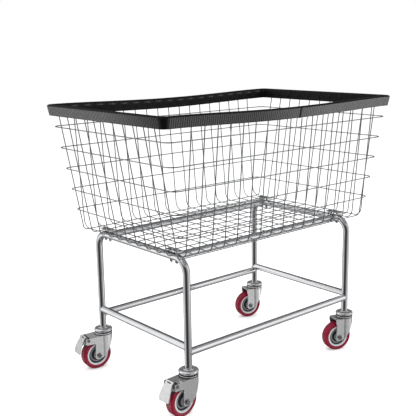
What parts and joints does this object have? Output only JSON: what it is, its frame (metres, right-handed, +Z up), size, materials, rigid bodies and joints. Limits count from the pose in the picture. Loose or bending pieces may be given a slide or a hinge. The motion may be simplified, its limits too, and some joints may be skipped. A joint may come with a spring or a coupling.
{
  "type": "laundry cart",
  "caption": "Wire basket laundry cart: chromed tube frame on swivel casters, flared wire basket with a ribbed black rim bumper, foot brakes at one end.",
  "frame": {"origin": "on the floor under the middle of the cart", "axes": "+X along the cart, away from the braked end, +Y across it, +Z up"},
  "size_m": [0.972, 0.612, 0.886],
  "materials": {
    "chrome_tube": "bright chrome plate",
    "basket_wire": "bright chrome plate",
    "bright_steel": "bright zinc",
    "zinc_steel": "bright zinc, pressed sheet",
    "dark_steel": "dark zinc",
    "bumper_vinyl": "ribbed satin vinyl",
    "black_rubber": "matte",
    "tyre_red": "glossy polyurethane",
    "wheel_grey": "satin moulded nylon"
  },
  "bodies": {
    "root": {"leg_frame_left": "chrome_tube", "leg_frame_right": "chrome_tube", "top_rail_front": "chrome_tube", "top_rail_back": "chrome_tube", "stretcher_front": "chrome_tube", "stretcher_back": "chrome_tube", "stretcher_left": "chrome_tube", "stretcher_right": "chrome_tube", "basket_cross_wires": "basket_wire", "basket_length_wires": "basket_wire", "basket_hoop_wires": "basket_wire", "basket_rim_rod": "basket_wire", "bumper": "bumper_vinyl", "clamp_plates": "bright_steel", "clamp_bolts": "bright_steel", "clamp_nuts": "bright_steel", "front_left_stem": "zinc_steel", "front_left_king_pin": "zinc_steel", "back_left_stem": "zinc_steel", "back_left_king_pin": "zinc_steel", "front_right_stem": "zinc_steel", "front_right_king_pin": "zinc_steel", "back_right_stem": "zinc_steel", "back_right_king_pin": "zinc_steel"},
    "swivel_front_left": {"front_left_fork": "zinc_steel", "front_left_balls": "bright_steel", "front_left_axle_bolt": "dark_steel", "front_left_axle_nut": "dark_steel", "front_left_brake_pin": "dark_steel"},
    "wheel_front_left": {"front_left_wheel_core": "wheel_grey", "front_left_tyre": "tyre_red", "front_left_bearings": "bright_steel"},
    "brake_front_left": {"front_left_brake_pedal": "zinc_steel", "front_left_brake_shoe": "black_rubber"},
    "swivel_back_left": {"back_left_fork": "zinc_steel", "back_left_balls": "bright_steel", "back_left_axle_bolt": "dark_steel", "back_left_axle_nut": "dark_steel", "back_left_brake_pin": "dark_steel"},
    "wheel_back_left": {"back_left_wheel_core": "wheel_grey", "back_left_tyre": "tyre_red", "back_left_bearings": "bright_steel"},
    "brake_back_left": {"back_left_brake_pedal": "zinc_steel", "back_left_brake_shoe": "black_rubber"},
    "swivel_front_right": {"front_right_fork": "zinc_steel", "front_right_balls": "bright_steel", "front_right_axle_bolt": "dark_steel", "front_right_axle_nut": "dark_steel"},
    "wheel_front_right": {"front_right_wheel_core": "wheel_grey", "front_right_tyre": "tyre_red", "front_right_bearings": "bright_steel"},
    "swivel_back_right": {"back_right_fork": "zinc_steel", "back_right_balls": "bright_steel", "back_right_axle_bolt": "dark_steel", "back_right_axle_nut": "dark_steel"},
    "wheel_back_right": {"back_right_wheel_core": "wheel_grey", "back_right_tyre": "tyre_red", "back_right_bearings": "bright_steel"}
  },
  "joints": [
    {"name": "swivel_front_left", "type": "hinge", "parent": "root", "child": "swivel_front_left", "pos_m": [-0.355, -0.226, 0.1265], "axis": [0, 0, 1], "continuous": true},
    {"name": "roll_front_left", "type": "hinge", "parent": "swivel_front_left", "child": "wheel_front_left", "pos_m": [-0.38596, -0.22762, 0.05], "axis": [0.0523, -0.9986, 0], "continuous": true},
    {"name": "brake_front_left", "type": "hinge", "parent": "swivel_front_left", "child": "brake_front_left", "pos_m": [-0.42191, -0.22951, 0.109], "axis": [-0.0523, 0.9986, 0], "range_deg": [0, 28]},
    {"name": "swivel_back_left", "type": "hinge", "parent": "root", "child": "swivel_back_left", "pos_m": [-0.355, 0.226, 0.1265], "axis": [0, 0, 1], "continuous": true},
    {"name": "roll_back_left", "type": "hinge", "parent": "swivel_back_left", "child": "wheel_back_left", "pos_m": [-0.38577, 0.22978, 0.05], "axis": [-0.1219, -0.9925, 0], "continuous": true},
    {"name": "brake_back_left", "type": "hinge", "parent": "swivel_back_left", "child": "brake_back_left", "pos_m": [-0.4215, 0.23417, 0.109], "axis": [0.1219, 0.9925, 0], "range_deg": [0, 28]},
    {"name": "swivel_front_right", "type": "hinge", "parent": "root", "child": "swivel_front_right", "pos_m": [0.355, -0.226, 0.1265], "axis": [0, 0, 1], "continuous": true},
    {"name": "roll_front_right", "type": "hinge", "parent": "swivel_front_right", "child": "wheel_front_right", "pos_m": [0.32587, -0.2154, 0.05], "axis": [-0.342, -0.9397, 0], "continuous": true},
    {"name": "swivel_back_right", "type": "hinge", "parent": "root", "child": "swivel_back_right", "pos_m": [0.355, 0.226, 0.1265], "axis": [0, 0, 1], "continuous": true},
    {"name": "roll_back_right", "type": "hinge", "parent": "swivel_back_right", "child": "wheel_back_right", "pos_m": [0.3252, 0.23455, 0.05], "axis": [-0.2756, -0.9613, 0], "continuous": true}
  ]
}
